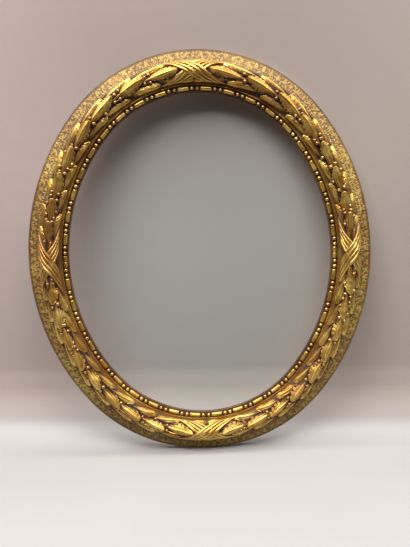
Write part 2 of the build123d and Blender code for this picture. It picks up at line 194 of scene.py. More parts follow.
def new_material(name):
    """Empty node material with its tree and output."""
    material = bpy.data.materials.new(name)
    material.use_nodes = True
    tree = material.node_tree
    tree.nodes.clear()
    return material, tree, tree.nodes.new("ShaderNodeOutputMaterial")


def node(tree, kind, inputs=None, **settings):
    """New node with its settings, and its inputs set to values or linked to sockets."""
    made = tree.nodes.new(kind)
    for key, value in settings.items():
        setattr(made, key, value)
    for key, value in (inputs or {}).items():
        socket = made.inputs[key]
        if isinstance(value, bpy.types.NodeSocket):
            tree.links.new(value, socket)
        else:
            socket.default_value = value
    return made


def srgb(*levels):
    """Linear colour of a display colour given as 0 to 255."""
    shares = [level / 255 for level in levels]
    return (*(c / 12.92 if c <= 0.04 else ((c + 0.055) / 1.055) ** 2.4 for c in shares), 1)


def noise(tree, where, scale, detail, rough, distort=0.0):
    """Noise value at a scale in cycles per metre."""
    inputs = {"Vector": where, "Scale": scale, "Detail": detail, "Roughness": rough, "Distortion": distort}
    return node(tree, "ShaderNodeTexNoise", inputs).outputs["Fac"]


def ramp(tree, value, low, high, start=0.0, end=1.0):
    """Value remapped smoothly from low..high to start..end."""
    inputs = {"Value": value, "From Min": low, "From Max": high, "To Min": start, "To Max": end}
    return node(tree, "ShaderNodeMapRange", inputs, interpolation_type="SMOOTHSTEP").outputs["Result"]


def mix(tree, factor, a, b, blend="MIX"):
    """Colour mix."""
    made = node(tree, "ShaderNodeMix", data_type="RGBA", blend_type=blend)
    for socket, value in ((made.inputs[0], factor), (made.inputs[6], a), (made.inputs[7], b)):
        if isinstance(value, bpy.types.NodeSocket):
            tree.links.new(value, socket)
        else:
            socket.default_value = value
    return made.outputs[2]


def math_node(tree, operation, a, b):
    """Maths on two values."""
    return node(tree, "ShaderNodeMath", {0: a, 1: b}, operation=operation).outputs[0]


def total(tree, a, b):
    """Sum of two values."""
    return math_node(tree, "ADD", a, b)


def product(tree, a, b):
    """Product of two values."""
    return math_node(tree, "MULTIPLY", a, b)


def vector_math(tree, operation, a, b=(0, 0, 0)):
    """Maths on two vectors."""
    return node(tree, "ShaderNodeVectorMath", {0: a, 1: b}, operation=operation).outputs


def stretched(tree, where, scale):
    """Place scaled by its own factor along each axis."""
    return node(tree, "ShaderNodeMapping", {"Vector": where, "Scale": scale}).outputs["Vector"]


def relief(tree, height, strength, distance):
    """Normal of fine relief that is too small for the mesh."""
    inputs = {"Strength": strength, "Distance": distance, "Height": height}
    return node(tree, "ShaderNodeBump", inputs).outputs["Normal"]


def finish_material(tree, output, surface):
    """Connect a surface to the material's output."""
    tree.links.new(surface, output.inputs["Surface"])


GOLD_DEEP, GOLD_PALE, GOLD_WARM = srgb(194, 152, 66), srgb(226, 198, 112), srgb(184, 132, 58)
BOLE_RUBBED, BOLE_BROWN, BOLE_RED = srgb(142, 76, 40), srgb(116, 78, 32), srgb(128, 66, 34)
SHADE_AND_GRIME = srgb(50, 25, 6)
WOOD_STAIN = srgb(34, 24, 16)


def gilding(name, age=0.0, red=0.3, varnish=0.15, shine=0.9, level=1.0):
    """Water gilding over red bole: bright where rubbed, brown toning and dirt, and painted shade that turns
    the hollows bole brown and near black.
    """
    material, tree, output = new_material(name)
    where = node(tree, "ShaderNodeTexCoord").outputs["Object"]
    hollow = node(tree, "ShaderNodeAttribute", attribute_name="hollow").outputs["Fac"]
    broad = noise(tree, where, 9, 3, 0.5)
    patch = noise(tree, where, 60, 5, 0.6, 0.4)
    fine = noise(tree, where, 420, 5, 0.65)
    grit = noise(tree, where, 1500, 3, 0.6)
    # Painted shade from the per-point value, plus dirt and age from the noise
    shade_and_dirt = total(tree, hollow, ramp(tree, fine, 0.2, 0.8, -0.16, 0.16))
    shade_and_dirt = total(tree, shade_and_dirt, ramp(tree, broad, 0.3, 0.7, age - 0.08, age + 0.1))
    rubbed = product(tree, ramp(tree, fine, 0.54, 0.72), ramp(tree, broad, 0.4, 0.6, 0.25, 1.0))
    tone = mix(tree, ramp(tree, patch, 0.36, 0.66), GOLD_DEEP, GOLD_PALE)
    tone = mix(tree, ramp(tree, broad, 0.4, 0.62, 0.0, 0.5), tone, GOLD_WARM)
    tone = mix(tree, product(tree, rubbed, 0.4 + red * 0.5), tone, BOLE_RUBBED)
    bole_and_shade = mix(tree, red, BOLE_BROWN, BOLE_RED)
    # Painted shade and dirt: bole brown, then near black in the deepest hollows
    tone = mix(tree, ramp(tree, shade_and_dirt, 0.08, 0.55, 0.0, 0.9), tone, bole_and_shade)
    tone = mix(tree, ramp(tree, shade_and_dirt, 0.4, 1.0), tone, SHADE_AND_GRIME)
    tone = mix(tree, 1.0, tone, (level, level, level, 1), "MULTIPLY")
    dull = ramp(tree, shade_and_dirt, 0.1, 0.9, 0.62 - shine * 0.33, 0.62)
    height = total(tree, product(tree, fine, 0.6), product(tree, grit, 0.2))
    height = total(tree, height, product(tree, patch, 1.2))
    inputs = {
        "Base Color": tone,
        "Metallic": ramp(tree, shade_and_dirt, 0.15, 0.85, shine, 0.05),
        "Roughness": total(tree, dull, ramp(tree, patch, 0.3, 0.7, -0.05, 0.1)),
        "Coat Weight": varnish,
        "Coat Roughness": 0.14,
        "Normal": relief(tree, height, 0.45, 0.0006),
    }
    finish_material(tree, output, node(tree, "ShaderNodeBsdfPrincipled", inputs).outputs["BSDF"])
    return material


def wood(name, light, dark, grain_axis, ring_scale=1.0):
    """Plain aged wood with its grain along one axis, its pores and stains."""
    material, tree, output = new_material(name)
    where = node(tree, "ShaderNodeTexCoord").outputs["Object"]
    stretch = [38.0, 38.0, 38.0]
    stretch[grain_axis] = 2.4
    along = stretched(tree, where, stretch)
    rings = noise(tree, along, 1.6 * ring_scale, 6, 0.6, 1.2)
    pores = noise(tree, along, 22, 4, 0.7)
    stain = noise(tree, where, 11, 4, 0.6)
    tone = mix(tree, ramp(tree, rings, 0.35, 0.65), dark, light)
    tone = mix(tree, ramp(tree, pores, 0.48, 0.66, 0.0, 0.7), tone, dark)
    tone = mix(tree, ramp(tree, stain, 0.42, 0.68, 0.0, 0.4), tone, mix(tree, 0.5, dark, WOOD_STAIN))
    height = total(tree, product(tree, pores, 0.6), product(tree, rings, 0.5))
    inputs = {
        "Base Color": tone,
        "Roughness": ramp(tree, pores, 0.3, 0.8, 0.62, 0.85),
        "Normal": relief(tree, height, 0.45, 0.0006),
    }
    finish_material(tree, output, node(tree, "ShaderNodeBsdfPrincipled", inputs).outputs["BSDF"])
    return material


def aged_metal(name, bright, dull, metallic, roughness):
    """Old metal: dull film with brighter rubbed patches and fine scratches."""
    material, tree, output = new_material(name)
    where = node(tree, "ShaderNodeTexCoord").outputs["Object"]
    film = noise(tree, where, 160, 5, 0.65, 0.5)
    scratch = noise(tree, stretched(tree, where, (260, 900, 2600)), 1.0, 3, 0.5)
    inputs = {
        "Base Color": mix(tree, ramp(tree, film, 0.4, 0.64), bright, dull),
        "Metallic": metallic,
        "Roughness": ramp(tree, film, 0.35, 0.7, roughness, roughness + 0.22),
        "Normal": relief(tree, total(tree, product(tree, scratch, 0.5), film), 0.3, 0.0002),
    }
    finish_material(tree, output, node(tree, "ShaderNodeBsdfPrincipled", inputs).outputs["BSDF"])
    return material


# ---- Ribbons over the half-round


def band_shift(theta, hand):
    """How far along the moulding a ribbon's middle has run at an angle from the crest."""
    angle = np.radians(theta)
    return hand * TORUS_R * (angle + RIBBON_CURL * angle**3) / math.tan(RIBBON_ANGLE)


def ribbon_cover(s, theta):
    """1 where a ribbon of the top or the right crossing lies over a place on the half-round."""
    half = RIBBON_WIDTH / math.sin(RIBBON_ANGLE) / 2
    cover = np.zeros(np.broadcast(s, theta).shape)
    for start in (0.0, quarter_length(TORUS_U)):
        for hand in (1, -1):
            away = np.abs(s - start - band_shift(theta, hand))
            cover = np.maximum(cover, 1 - smooth(half - 1.5, half + 2.0, away))
    return cover


def add_ribbon(shell, start, hand, over, seed):
    """Reeded band that winds from the groove inside the half-round to the one outside it."""
    chance = np.random.default_rng(seed)
    theta = np.linspace(-RIBBON_REACH, RIBBON_REACH, RIBBON_ROWS)
    turn = np.radians(theta)
    across = np.linspace(-1, 1, RIBBON_COLUMNS)
    half = RIBBON_WIDTH / math.sin(RIBBON_ANGLE) / 2
    reed = np.zeros(across.shape)
    for place in REED_PLACES:
        reed = np.maximum(reed, np.clip(1 - ((across - place) / REED_HALF) ** 2, 0, 1) ** 0.6)
    sway = 0.5 * np.sin(turn * 3.1 + chance.uniform(0, 6)) + 0.3 * np.sin(turn * 7 + 1)
    width = half * (1 + 0.05 * np.sin(turn * 4 + chance.uniform(0, 6)))
    lift = UNDER_RISE + 0 * theta
    if over:
        lift = UNDER_RISE + (OVER_RISE - UNDER_RISE) * np.exp(-((theta / OVER_SPREAD) ** 2))
    lift = lift - RIBBON_TUCK * smooth(76, 97, np.abs(theta))
    dip = 0.35 * np.sin(turn * 9 + chance.uniform(0, 6))[:, None] * np.sin(across * 5)[None, :]
    s = start + band_shift(theta, hand)[:, None] + sway[:, None] + width[:, None] * across[None, :]
    rise = lift[:, None] + REED_RISE * reed[None, :] + dip * 0.5
    # Painted shade between the reeds and towards the ends, where the ribbon tucks into the grooves
    hollow = 0.6 * (1 - reed[None, :]) ** 1.3 + 0.3 * smooth(70, 95, np.abs(theta))[:, None]
    foot = on_torus(s[:, [-1, 0]], theta[:, None], -CORE_SINK - 1)
    shell.slab(on_torus(s, theta[:, None], rise), foot, hollow, turned=True)


def make_ribbon(start, seed):
    """Crossing of two ribbons at a place, one over the other."""
    shell = Shell()
    add_ribbon(shell, start, 1, False, seed)
    add_ribbon(shell, start, -1, True, seed + 1)
    return shell


# ---- Laurel leaves and berries


def leaf_width(p):
    """Half width of a laurel leaf, from its point to its stalk, as a share of the widest."""
    point = np.sin(np.clip(p / 0.45, 0, 1) * np.pi / 2) ** 0.72
    stalk = 1 - 0.6 * np.clip((p - 0.5) / 0.5, 0, 1) ** 1.6
    return np.maximum(point * stalk, 0.05)


def leaf_line(p, foot, top):
    """Height of a leaf's midrib: a steep free edge at the point, then down to the stalk."""
    high = top - 0.4 * np.exp(-((p / 0.12) ** 2)) - 6.4 * np.clip((p - 0.18) / 0.82, 0, 1) ** 1.2
    return foot + (high - foot) * smooth(-0.012, 0.03, p)


def leaf_drop(p, q, slopes, flat):
    """How far a leaf lies below its midrib: two sloping sides, each with a bead along its rim."""
    side = np.abs(q)
    full = np.sin(np.clip(p / 0.3, 0, 1) * np.pi / 2) * (1 - 0.5 * smooth(0.6, 1.0, p))
    ridge = np.sqrt(q**2 + 0.002) - 0.045
    slope = np.where(q < 0, slopes[0], slopes[1]) * np.where(q * flat > 0, FLAT_SHARE, 1.0)
    drop = slope * (1 - (1 - np.clip(ridge, 0, 1)) ** 1.25) + RIM_DROP * smooth(0.9, 1.0, side)
    drop = drop - RIM_BEAD * np.exp(-(((side - 0.84) / 0.07) ** 2))
    return drop * (0.35 + 0.65 * full)


def leaf_veins(p, side):
    """Fine lines that run beside a leaf's midrib."""
    vein = np.zeros(side.shape)
    for place in VEIN_PLACES:
        vein = vein + np.exp(-(((side - place) / VEIN_HALF) ** 2))
    return vein * smooth(0.03, 0.2, p)


def leaf_shade_and_grime(p, side, height, vein, groove):
    """Painted shade and grime on a leaf: dark where it lies low at its foot, in its lines, along its rim
    and towards its stalk, and lighter at its raised point.
    """
    hollow = 0.95 * smooth(-1.6, -4.2, height) + 0.36 * vein + 0.5 * groove + 0.5 * smooth(0.92, 0.99, side)
    return hollow + 0.6 * smooth(0.5, 0.95, p) - 0.25 * smooth(0.16, 0.02, p)


def add_leaf(shell, start, length, column, half, foot, top, turn, chance, grid=LEAF_GRID, flat=0):
    """Scalloped leaf with a sharp midrib; turn swings its stalk, and flat names a half that spreads."""
    p = np.linspace(0, 1, grid[0])[:, None]
    q = np.linspace(-1, 1, grid[1])[None, :]
    side = np.abs(q)
    swing, bend = turn + chance.uniform(-5, 5), chance.uniform(-9, 9)
    teeth = max(3, int(length / chance.uniform(*TOOTH_LENGTH)))
    phase = chance.uniform(0, 1, 2)
    turns = np.where(q < 0, (p * teeth + phase[0]) % 1, (p * teeth + phase[1]) % 1)
    lobes = 1 - (2 * turns - 1) ** 2
    bite = smooth(0.03, 0.15, p)
    width = leaf_width(p) * (1 + LOBE_REACH * (lobes - 0.6) * bite * side**3)
    theta = column + swing * (p - 0.5) + bend * (p - 0.5) ** 2 * 2 + half * q * width
    s = start + length * (p + 0.05 * side**2 * np.sin(np.pi * p))
    drop = leaf_drop(p, q, chance.uniform(*SIDE_SLOPES, 2), flat)
    vein = leaf_veins(p, side)
    groove = np.exp(-(((turns - 0.02) / 0.1) ** 2)) * smooth(0.3, 0.9, side) * bite
    twist = chance.uniform(-LEAF_TWIST, LEAF_TWIST) * q * np.sin(np.pi * p)
    swell = LEAF_SWELL * np.sin(2 * np.pi * (p * chance.uniform(1.4, 2.4) + chance.uniform(0, 1))) * side
    height = leaf_line(p, foot, top) - drop - VEIN_DEPTH * vein - GROOVE_DEPTH * groove + twist + swell
    height = np.minimum(height, LEAF_LIMIT)
    under = height + (UNDER_RIBBON - height) * ribbon_cover(s, theta)
    height = np.where(height > UNDER_RIBBON, under, height)
    # Painted shade and grime of the leaf, with a random tone of its own
    hollow = leaf_shade_and_grime(p, side, height, vein, groove) + chance.uniform(-0.12, 0.16)
    sunk = on_torus(s[:, [-1, 0]], theta[:, [-1, 0]], -CORE_SINK - 1.2)
    shell.slab(on_torus(s, theta, height), sunk, hollow)


def add_ball(shell, centre, axes, radii, shaded_below=(0.5, -0.25), rings=9, spokes=14):
    """Berry or bead: an egg round a centre, dark below its cap by painted shade."""
    turn = np.linspace(0.1, np.pi - 0.1, rings)[:, None]
    spin = np.linspace(0, 2 * np.pi, spokes, endpoint=False)[None, :]
    along = np.sin(turn) * np.cos(spin) * radii[0]
    round_it = np.sin(turn) * np.sin(spin) * radii[1]
    up = np.broadcast_to(np.cos(turn) * radii[2], (rings, spokes))
    points = centre + along[..., None] * axes[0] + round_it[..., None] * axes[1] + up[..., None] * axes[2]
    shell.loft(points, smooth(*shaded_below, np.cos(turn)) + 0 * spin)


def torus_axes(s, theta):
    """Directions along the moulding, round the half-round and away from it, at a place on it."""
    here = on_torus(s, theta, 0.0)
    ahead = on_torus(s + 0.5, theta, 0.0) - here
    out = on_torus(s, theta, 1.0) - here
    ahead /= np.linalg.norm(ahead)
    out /= np.linalg.norm(out)
    return here, (ahead, np.cross(out, ahead), out)


def add_berry(shell, s, theta, radius, chance):
    """Round berry with a small squash of its own, half sunk between the leaves."""
    here, axes = torus_axes(s, theta)
    squash = chance.uniform(0.9, 1.1, 3)
    lift = min(chance.uniform(*BERRY_LIFT), LEAF_LIMIT - 0.1 - radius * 1.1)
    add_ball(shell, here + axes[2] * lift, axes, radius * squash)


def row_starts(quarter):
    """Where the crest leaves of a quarter start: the rows are longer near the top and bottom."""
    rows, spread = ROWS[quarter]
    share = 1 + spread * np.linspace(1, -1, rows)
    ends = np.concatenate([[0], np.cumsum(share) / share.sum()])
    return END_GAP - LEAF_LAP + (quarter_length(TORUS_U) - 2 * END_GAP + LEAF_LAP) * ends


def fill_crossings(shell, chance):
    """Low leaves that close the corners beside both crossings of a quarter."""
    end = quarter_length(TORUS_U)
    for begin, length in ((12, 34), (end - 46, 34), (end - 37, 40)):
        for column in (-21, 20):
            turn = math.copysign(FILL_TURN, column)
            add_leaf(shell, begin, length, column, FILL_HALF, LEAF_FOOT, FILL_TOP, turn, chance, FILL_GRID)


def add_row(shell, start, pitch, chance):
    """Low leaves in the gaps of a row, then the leaf on each flank."""
    for column in (-LOW_ANGLE, LOW_ANGLE):
        low = start + pitch * (0.6 + chance.uniform(-0.1, 0.1))
        turn = chance.uniform(-LOW_TURN, LOW_TURN)
        add_leaf(shell, low, pitch * 0.9, column, LOW_HALF, LOW_FOOT, LOW_TOP, turn, chance, LOW_GRID)
    for hand, lag in ((-1, 0.55), (1, 0.3)):
        size = chance.uniform(0.93, 1.06)
        begin = start + pitch * (lag + chance.uniform(-0.06, 0.06))
        length = (pitch + LEAF_LAP) * size
        column = hand * (FLANK_ANGLE + chance.uniform(-2, 3) + (5 if hand < 0 else 0))
        half, top = FLANK_HALF * size, FLANK_TOP + chance.uniform(-0.5, 0.7)
        add_leaf(shell, begin, length, column, half, LEAF_FOOT, top, -FLANK_TURN * hand, chance, flat=hand)


def make_leaves(quarter):
    """All leaves of a quarter: low ones in the gaps, then both flanks, then the crest."""
    chance = np.random.default_rng(SEEDS[quarter])
    starts = row_starts(quarter)
    shell = Shell()
    fill_crossings(shell, chance)
    first_pitch = starts[1] - starts[0]
    add_row(shell, starts[0] - first_pitch, first_pitch, chance)
    for start, after in zip(starts[:-1], starts[1:]):
        add_row(shell, start, after - start, chance)
    for start, after in zip(starts[:-1], starts[1:]):
        size = chance.uniform(0.94, 1.06)
        begin = start + chance.uniform(-2.5, 2.5)
        length = (after - start + LEAF_LAP) * size
        column = chance.uniform(-4, 3)
        add_leaf(shell, begin, length, column, LEAF_HALF * size, LEAF_FOOT, LEAF_TOP, LEAF_TURN, chance)
    return shell


def make_berries(quarter):
    """Berries in the forks between the leaf points, and in short rows down the valleys."""
    chance = np.random.default_rng(SEEDS[quarter] + 500)
    starts = row_starts(quarter)
    shell = Shell()
    last = quarter_length(TORUS_U) - END_GAP * 0.6
    for row in range(len(starts) - 1):
        pitch = starts[row + 1] - starts[row]
        fork = starts[row + 1]
        places = [(fork - 3, 16), (fork + 1, -22)]
        if chance.uniform() < 0.4:
            places += [(fork - 8, -27), (fork - 11, 24)]
        if chance.uniform() < 0.35:
            places += [(fork + pitch * 0.5, -40), (fork + pitch * 0.25, 34)]
        for s, theta in places:
            s = s + chance.uniform(-2.5, 2.5)
            if END_GAP - 6 < s < last:
                add_berry(shell, s, theta + chance.uniform(-3, 3), chance.uniform(*BERRY_RADIUS), chance)
    return shell


# ---- Moulding behind the leaves, and its outer band

SADDLE = 46.0
BAND_IN, BAND_OUT, BAND_LINE = (50.2, 27.6), (74.2, 15.9), 66
BAND_ROWS, BAND_COLUMNS, BAND_RISE = 640, 36, 1.15
STROKE_ROWS = ((0.2, 3.9), (0.44, 3.6), (0.74, 3.7))
ROSETTE_PITCH, ROSETTE_SHARE, PETALS, PETAL_REACH = 14.6, 0.6, 5, 3


def core_profile():
    """Section of the moulding under the leaves, as offset, height and a value of painted shade, which is
    deep under the leaves and lowest along the fillet's crest.
    """
    face = [
        (0.0, LIP_BACK, 0.8),
        (0.0, SEAT - 1.2, 0.7),
        (0.3, SEAT - 0.4, 0.5),
        (0.8, SEAT, 0.45),
        (1.6, SEAT, 0.7),
        (2.2, SEAT - 0.3, 0.85),
        (10.8, SEAT - 0.3, 0.85),
        (11.2, SEAT + 0.2, 0.85),
        (11.3, SEAT + 4.5, 0.5),
        (11.6, SEAT + 6.2, 0.1),
        (12.0, SEAT + 6.9, -0.1),
        (12.5, SEAT + 6.8, 0.0),
        (13.0, SEAT + 6.3, 0.25),
        (13.7, SEAT + 6.0, 0.2),
        (15.2, SEAT + 6.1, 0.3),
        (17.2, SEAT + 6.8, 0.5),
        (19.2, SEAT + 8.0, 0.7),
        (21.2, SEAT + 9.4, 0.6),
    ]
    for theta in range(-78, 84, 6):
        reach = TORUS_R - CORE_SINK
        u = TORUS_U + reach * math.sin(math.radians(theta))
        d = TORUS_D + reach * math.cos(math.radians(theta))
        face.append((u, d, 0.95))
    return face + [
        (50.0, 25.8, 0.6),
        (51.0, 26.2, 0.6),
        (73.6, 15.4, 1.0),
        (74.7, 15.6, 0.5),
        (75.0, 15.2, 0.55),
        (75.0, RAIL_TOP, 0.8),
        (6.5, RAIL_TOP, 0.8),
        (6.5, LIP_BACK, 0.7),
    ]


def add_saddle(shell, start, finish):
    """Smooth length of the half-round under a crossing, which shows between the ribbons."""
    s = np.linspace(start, finish, 24)[:, None]
    theta = np.linspace(-92, 92, 40)[None, :]
    sag = 1.8 + 2.4 * smooth(72, 92, np.abs(theta)) + 0 * s
    sunk = on_torus(s, theta[:, [-1, 0]], -CORE_SINK - 2)
    # Painted shade over the sunk half-round between the ribbons, deeper at its flanks
    shell.slab(on_torus(s, theta, -sag), sunk, 0.8 + 0.2 * smooth(70, 92, np.abs(theta)))


def make_core():
    """Plain lengths of the moulding: lip, bead seat, fillet, cove and half-round."""
    profile = np.array(core_profile())
    rows = 180
    s = np.linspace(0, quarter_length(TORUS_U), rows)[:, None]
    rings = oval(s, profile[None, :, 0], profile[None, :, 1], TORUS_U)
    shell = Shell()
    shell.loft(rings, np.broadcast_to(profile[:, 2], rings.shape[:2]))
    end = quarter_length(TORUS_U)
    add_saddle(shell, 0.0, SADDLE)
    add_saddle(shell, end - SADDLE, end)
    return shell


def leaflet(s, v, centre_s, centre_v, tilt, long, short):
    """Height share of a small carved leaflet at places on the band, in millimetres."""
    ds, dv = s - centre_s, v - centre_v
    a = ds * math.cos(tilt) + dv * math.sin(tilt)
    b = -ds * math.sin(tilt) + dv * math.cos(tilt)
    body = np.clip(1 - (a / long) ** 2 - (b / short) ** 2, 0, 1) ** 0.5
    return body * (1 - 0.3 * np.exp(-((b / (short * 0.25)) ** 2)))


def band_marks(length, width, chance):
    """Strokes and rosettes of the band: place along and across it, tilt, half lengths and height."""
    marks = []
    for share, step in STROKE_ROWS:
        for number in range(int(length / step) + 2):
            drift = chance.uniform(-1, 1, 4)
            tall = 0.75 + 0.3 * drift[3]
            place = ((number + 0.35 * drift[0]) * step, width * share + drift[1] * 1.3)
            marks.append((*place, math.pi / 2 + 0.65 * drift[2], 3.6 + drift[3], 1.55, tall))
    for number in range(int(length / ROSETTE_PITCH) + 2):
        drift = chance.uniform(-1, 1, 2)
        centre = (number * ROSETTE_PITCH + drift[0], width * ROSETTE_SHARE + drift[1] * 2)
        marks.append((*centre, 0.0, 1.7, 1.7, 1.1))
        for petal in range(PETALS):
            angle = drift[0] + petal * 2 * math.pi / PETALS
            reach = (PETAL_REACH * math.cos(angle), PETAL_REACH * math.sin(angle))
            marks.append((centre[0] + reach[0], centre[1] + reach[1], angle, 1.9, 1.3, 1.0))
    return marks


def band_relief(s, v, width, seed):
    """Small strokes that lean this way and that across the band, with rosettes; in millimetres."""
    chance = np.random.default_rng(seed + 900)
    height = 0.12 + 0.12 * np.sin(s * 1.9 + 1.3 * np.sin(v * 1.1)) * np.sin(v * 1.7 + np.sin(s * 0.8))
    for cs, cv, tilt, long, short, tall in band_marks(quarter_length(BAND_LINE), width, chance):
        near = np.abs(s[:, 0] - cs) < long + 1
        if near.any():
            height[near] = np.maximum(height[near], tall * leaflet(s[near], v, cs, cv, tilt, long, short))
    return height


def make_band(seed):
    """Outer slope with its carved running pattern between two thin fillets."""
    s = np.linspace(0, quarter_length(BAND_LINE), BAND_ROWS)[:, None]
    slope = np.array(BAND_OUT) - np.array(BAND_IN)
    width = float(np.hypot(*slope))
    normal = np.array([-slope[1], slope[0]]) / width
    v = np.linspace(0, width, BAND_COLUMNS)[None, :]
    relief_share = band_relief(s, v, width, seed)
    ground = 0.10 * np.sin(2 * np.pi * s / 2.0) * np.sin(2 * np.pi * v / 2.0)
    edge = smooth(width - 1.9, width - 1.1, v)
    height = BAND_RISE * ((1 - edge) * relief_share) + ground * (1 - relief_share) * (1 - edge) + 0.7 * edge
    height = height - 0.7 * smooth(width - 0.8, width, v)
    share = v / width
    u = np.minimum(BAND_IN[0] + slope[0] * share + normal[0] * height, MOULDING - 0.1)
    d = BAND_IN[1] + slope[1] * share + normal[1] * height
    # Painted shade in the pits between the strokes and rosettes, less on their raised tops, more at the
    # outer edge
    hollow = np.where(edge > 0.5, 0.2 + 0 * height, 0.5 - 0.7 * relief_share)
    hollow = hollow + 0.3 * smooth(width - 1.0, width - 0.1, v)
    foot = oval(s, np.array([[74.2, 51.0]]), np.array([[15.2, 25.6]]), BAND_LINE)
    shell = Shell()
    shell.slab(oval(s, u, d, BAND_LINE), foot, hollow)
    return shell


# ---- Bead-and-bar strip, with heights measured from the seat

STRING = [(2.4, -0.2), (2.9, 0.9), (10.1, 0.9), (10.6, -0.2), (10.6, -0.8), (2.4, -0.8)]
BAR_SHARE, BAR_GAP, BAR_HALF, BAR_RISE = 0.53, 0.2, 4.05, 5.5
BEAD_GAP, BEAD_HALF, BEAD_RISE, BEAD_LIFT = 0.9, 4.1, 3.9, 2.5


def add_bar(shell, start, length):
    """Long bar of the sight strip, rounded over and at both ends."""
    p = np.linspace(-1, 1, 25)
    taper = np.sqrt(np.clip(1 - (np.clip(np.abs(p) - 0.78, 0, 1) / 0.225) ** 2, 0.02, 1))
    turn = np.linspace(0, np.pi, 13)
    s = start + (p + 1)[:, None] * length / 2
    u = BEAD_U - np.cos(turn) * BAR_HALF * taper[:, None]
    d = SEAT + 0.5 + np.sin(turn) ** 0.8 * BAR_RISE * taper[:, None]
    # Painted shade along the bar's foot on both sides and at its ends
    hollow = smooth(0.45, 0.0, np.sin(turn))[None, :] + 0.3 * smooth(0.95, 1.0, np.abs(p))[:, None]
    shell.slab(oval(s, u, d, BEAD_U), oval(s, u[:, [-1, 0]], SEAT - 0.6, BEAD_U), hollow)


def add_bead(shell, place, half_length, chance):
    """Bead of the sight strip, a little longer across the strip than along it."""
    here = oval(place, BEAD_U, SEAT + BEAD_LIFT, BEAD_U)
    ahead = oval(place + 0.5, BEAD_U, SEAT + BEAD_LIFT, BEAD_U) - here
    ahead /= np.linalg.norm(ahead)
    front = np.array([0.0, -1.0, 0.0])
    radii = np.array([half_length, BEAD_HALF, BEAD_RISE]) * chance.uniform(0.96, 1.03, 3)
    # Painted shade on all of the bead but its front cap
    add_ball(shell, here, (ahead, np.cross(front, ahead), front), radii, (0.9, 0.25), 10, 16)


def make_beads(seed):
    """Pairs of beads between bars, from half a pair to half a bar, on a low string darkened by painted
    shade.
    """
    chance = np.random.default_rng(seed + 300)
    length = quarter_length(BEAD_U)
    pitch = length / BEAD_REPEATS
    bar = pitch * BAR_SHARE
    bead = (pitch - bar) / 2
    s = np.linspace(0, length, 120)[:, None]
    string = np.array(STRING)
    shell = Shell()
    shell.loft(oval(s, string[None, :, 0], SEAT + string[None, :, 1], BEAD_U), 0.85)
    for repeat in range(math.ceil(BEAD_REPEATS)):
        middle = pitch * (repeat + 0.5)
        low = middle - bar / 2 + BAR_GAP
        high = min(middle + bar / 2 - BAR_GAP, length)
        add_bar(shell, low, high - low)
        for place in (pitch * repeat + bead / 2, pitch * (repeat + 1) - bead / 2):
            if place <= length:
                add_bead(shell, place, bead / 2 - BEAD_GAP, chance)
    return shell


# ---- Screws and ring of the back, with heights measured from the back face

HEAD_RADIUS, HEAD_RISE, SLOT_FLOOR, SLOT_HALF = 3.2, 1.8, 0.7, 0.4
SHANK_RADIUS, SCREW_LENGTH = 1.7, 11.0
PIVOT_SEAT, PIVOT_REACH, PIVOT_ANGLE = 1.9, 15.5, math.radians(26)
PIVOT_TURNS = ((1, 1, 0.4), (-1, 1, 1.3), (1, -1, 2.2), (-1, -1, 2.9))
STRAP_SEAT, STRAP_SCREWS = 1.2, ((333.0, 0.5), (323.0, 2.1))
EYE_Z, EYE_RISE = 359.0, 2.8
RING_HALF, RING_CORNER, RING_LEG, WIRE_RADIUS = 10.0, 3.0, 5.0, 1.25


def arc(x, z, rise, radius, angles):
    """Points round an axis square to the back face."""
    along, up = x + radius * np.cos(angles), z + radius * np.sin(angles)
    return np.stack([along, BACK_Y + rise + 0 * angles, up], -1)


def add_screw(shell, x, z, seat, turn):
    """Wood screw: shank, low disc of the head, and a half dome on each side of its slot."""
    whole = np.linspace(0, 2 * np.pi, 28, endpoint=False)
    tip = -SCREW_LENGTH
    levels = [(tip, 0.3), (tip + 4, SHANK_RADIUS), (seat, SHANK_RADIUS), (seat, HEAD_RADIUS - 0.1)]
    levels += [(seat + 0.1, HEAD_RADIUS), (seat + SLOT_FLOOR, HEAD_RADIUS)]
    shell.loft(np.stack([arc(x, z, rise, radius, whole) for rise, radius in levels]), 0.5)
    for side in (0, math.pi):
        rings = []
        for share in np.linspace(0, 1, 9):
            radius = HEAD_RADIUS * math.sqrt(1 - (0.93 * share) ** 2)
            reach = math.acos(SLOT_HALF / radius)
            angles = turn + side + np.linspace(-reach, reach, 17)
            rings.append(arc(x, z, seat + SLOT_FLOOR + share * (HEAD_RISE - SLOT_FLOOR), radius, angles))
        shell.loft(np.stack(rings), 0.5)


def make_pivot_screws():
    """Four screws on which the turn buttons swing."""
    shell = Shell()
    reach = END_RADIUS + PIVOT_REACH
    x, z = reach * math.sin(PIVOT_ANGLE), END_Z + reach * math.cos(PIVOT_ANGLE)
    for side, level, turn in PIVOT_TURNS:
        add_screw(shell, side * x, level * z, PIVOT_SEAT, turn)
    return shell


def make_strap_screws():
    """Two screws that hold the hanging strap."""
    shell = Shell()
    for z, turn in STRAP_SCREWS:
        add_screw(shell, 0.0, z, STRAP_SEAT, turn)
    return shell


